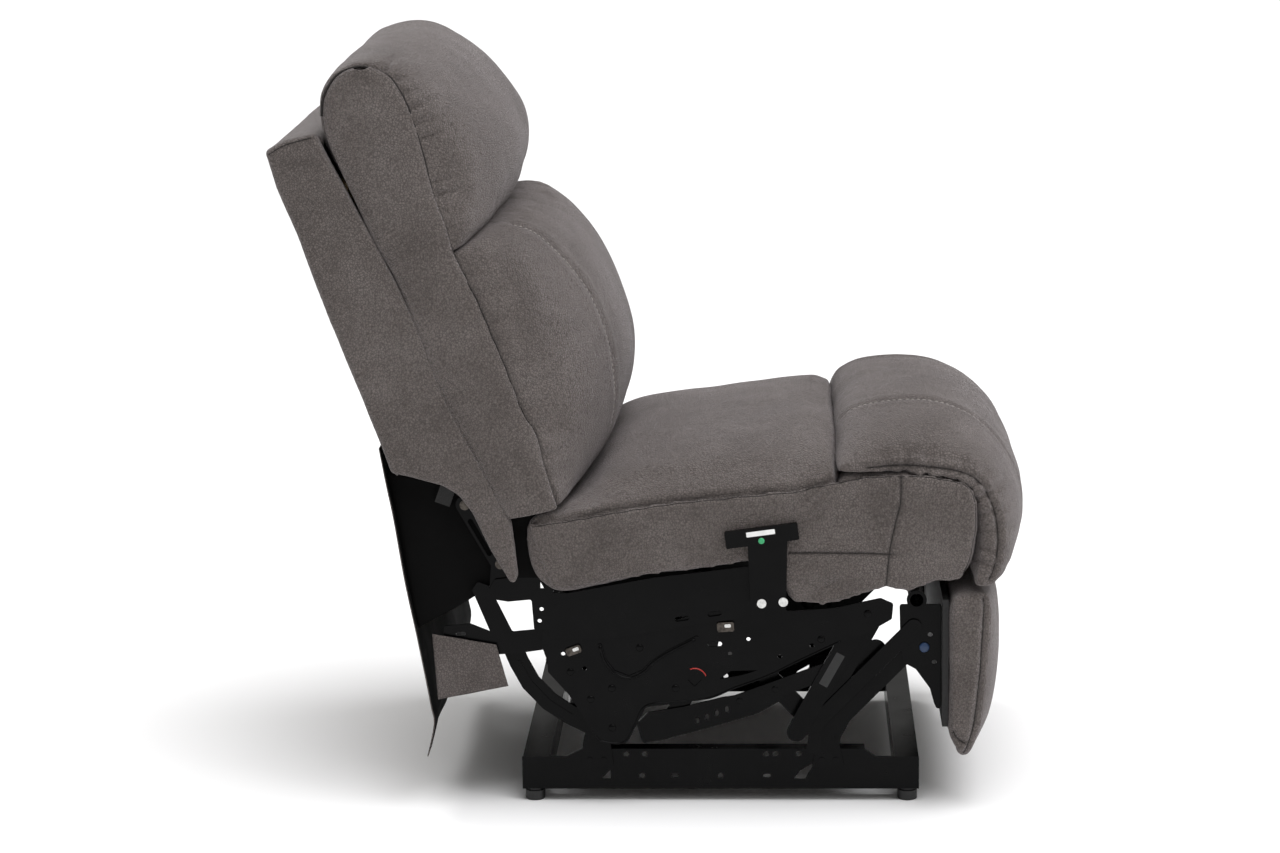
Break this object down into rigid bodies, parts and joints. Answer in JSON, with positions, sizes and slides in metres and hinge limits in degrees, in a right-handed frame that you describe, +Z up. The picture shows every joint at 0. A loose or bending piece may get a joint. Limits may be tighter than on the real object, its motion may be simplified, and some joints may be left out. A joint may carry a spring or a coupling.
{
  "type": "recliner armchair",
  "caption": "Armless reclining chair on a black steel mechanism, with a fold-out footrest, reclining back and tilting headrest.",
  "frame": {"origin": "on the floor, in the middle of the footprint of the closed chair", "axes": "+X forward, where the sitter looks; +Y the sitter's left; +Z up"},
  "size_m": [1.0484, 0.6504, 1.0779],
  "materials": {
    "upholstery": "pebbled suede-like faux leather, matt",
    "skirt_cloth": "thin backed cover cloth, matt",
    "black_steel": "black paint, semi-gloss",
    "zinc_steel": "zinc plated",
    "black_plastic": "moulded, matt",
    "motor_plastic": "moulded, fine texture",
    "frame_wood": "raw plywood",
    "black_board": "black board"
  },
  "bodies": {
    "base": {"base_rail_right": "black_steel", "base_rail_left": "black_steel", "base_crossmember_rear": "black_steel", "base_crossmember_front": "black_steel", "glide_feet": "black_plastic", "base_pivot_brackets": "black_steel", "base_pivot_studs": "black_steel"},
    "rear_lift": {"lift_link_rear_right": "black_steel", "lift_link_rear_left": "black_steel", "lift_cross_tube": "black_steel"},
    "front_lift": {"lift_bell_crank_right": "black_steel", "lift_bell_crank_left": "black_steel"},
    "seat": {"seat_rail_right": "black_steel", "seat_rail_left": "black_steel", "mech_plate_right": "black_steel", "mech_plate_left": "black_steel", "rear_arm_right": "black_steel", "rear_arm_left": "black_steel", "seat_pivot_studs": "black_steel", "seat_crossmember_rear": "black_steel", "seat_crossmember_front": "black_steel", "connector_bracket_right": "black_steel", "connector_bracket_left": "black_steel", "connector_screws": "zinc_steel", "seat_cushion": "upholstery", "seat_roll": "upholstery", "seat_front_box": "upholstery", "rear_skirt": "skirt_cloth", "skirt_flaps": "skirt_cloth", "gear_motor": "motor_plastic"},
    "drive": {"drive_shaft": "black_steel"},
    "drag": {"drag_link_right": "black_steel", "drag_link_left": "black_steel"},
    "link_a": {"ottoman_link_a_right": "black_steel", "ottoman_link_a_left": "black_steel"},
    "link_b": {"ottoman_link_b_right": "black_steel", "ottoman_link_b_left": "black_steel"},
    "link_c": {"ottoman_link_c_right": "black_steel", "ottoman_link_c_left": "black_steel"},
    "link_d": {"ottoman_link_d_right": "black_steel", "ottoman_link_d_left": "black_steel"},
    "footrest": {"ottoman_bracket_right": "black_steel", "ottoman_bracket_left": "black_steel", "ottoman_tube": "black_steel", "ottoman_board": "black_board", "ottoman_cushion": "upholstery"},
    "back": {"back_wing_right": "upholstery", "back_wing_left": "upholstery", "back_panel": "upholstery", "back_rail_upper": "frame_wood", "back_rail_lower": "black_board", "back_bracket_right": "black_steel", "back_bracket_left": "black_steel", "back_bolts": "zinc_steel", "lumbar_cushion": "upholstery"},
    "headrest": {"headrest_cushion": "upholstery"}
  },
  "joints": [
    {"name": "rear_lift_swing", "type": "hinge", "parent": "base", "child": "rear_lift", "pos_m": [-0.087, 0, 0.113], "axis": [0, 1, 0], "range_deg": [0, 60]},
    {"name": "seat_level", "type": "hinge", "parent": "rear_lift", "child": "seat", "pos_m": [-0.205, 0, 0.24], "axis": [0, 1, 0], "range_deg": [-60, 0]},
    {"name": "front_lift_swing", "type": "hinge", "parent": "base", "child": "front_lift", "pos_m": [0.245, 0, 0.095], "axis": [0, 1, 0], "range_deg": [0, 60]},
    {"name": "back_recline", "type": "hinge", "parent": "seat", "child": "back", "pos_m": [-0.217, 0, 0.32], "axis": [0, -1, 0], "range_deg": [0, 36], "deforming": ["rear_skirt"]},
    {"name": "headrest_tilt", "type": "hinge", "parent": "back", "child": "headrest", "pos_m": [-0.318, 0, 0.768], "axis": [0, 1, 0], "range_deg": [0, 15]},
    {"name": "footrest_extend", "type": "hinge", "parent": "seat", "child": "link_a", "pos_m": [0.29, 0, 0.275], "axis": [0, -1, 0], "range_deg": [0, 105]},
    {"name": "link_b_swing", "type": "hinge", "parent": "seat", "child": "link_b", "pos_m": [0.32, 0, 0.289], "axis": [0, -1, 0], "range_deg": [0, 105]},
    {"name": "drive_turn", "type": "hinge", "parent": "seat", "child": "drive", "pos_m": [0.057, 0, 0.188], "axis": [0, -1, 0], "range_deg": [0, 105]},
    {"name": "drag_swing", "type": "hinge", "parent": "drive", "child": "drag", "pos_m": [0.0165, 0, 0.11375], "axis": [0, -1, 0], "range_deg": [-105, 0]},
    {"name": "link_c_swing", "type": "hinge", "parent": "link_a", "child": "link_c", "pos_m": [0.2, 0, 0.11], "axis": [0, -1, 0], "range_deg": [-105, 0]},
    {"name": "link_d_swing", "type": "hinge", "parent": "link_b", "child": "link_d", "pos_m": [0.225, 0, 0.086], "axis": [0, -1, 0], "range_deg": [-105, 0]},
    {"name": "footrest_turn", "type": "hinge", "parent": "link_c", "child": "footrest", "pos_m": [0.365, 0, 0.262], "axis": [0, -1, 0], "range_deg": [0, 105]}
  ],
  "couplings": [
    {"joint": "rear_lift_swing", "follows": "back_recline", "ratio": 1.6667},
    {"joint": "seat_level", "follows": "back_recline", "ratio": -1.6667},
    {"joint": "front_lift_swing", "follows": "back_recline", "ratio": 1.6667},
    {"joint": "link_b_swing", "follows": "footrest_extend", "ratio": 1},
    {"joint": "drive_turn", "follows": "footrest_extend", "ratio": 1},
    {"joint": "drag_swing", "follows": "footrest_extend", "ratio": -1},
    {"joint": "link_c_swing", "follows": "footrest_extend", "ratio": -1},
    {"joint": "link_d_swing", "follows": "footrest_extend", "ratio": -1},
    {"joint": "footrest_turn", "follows": "footrest_extend", "ratio": 1}
  ]
}
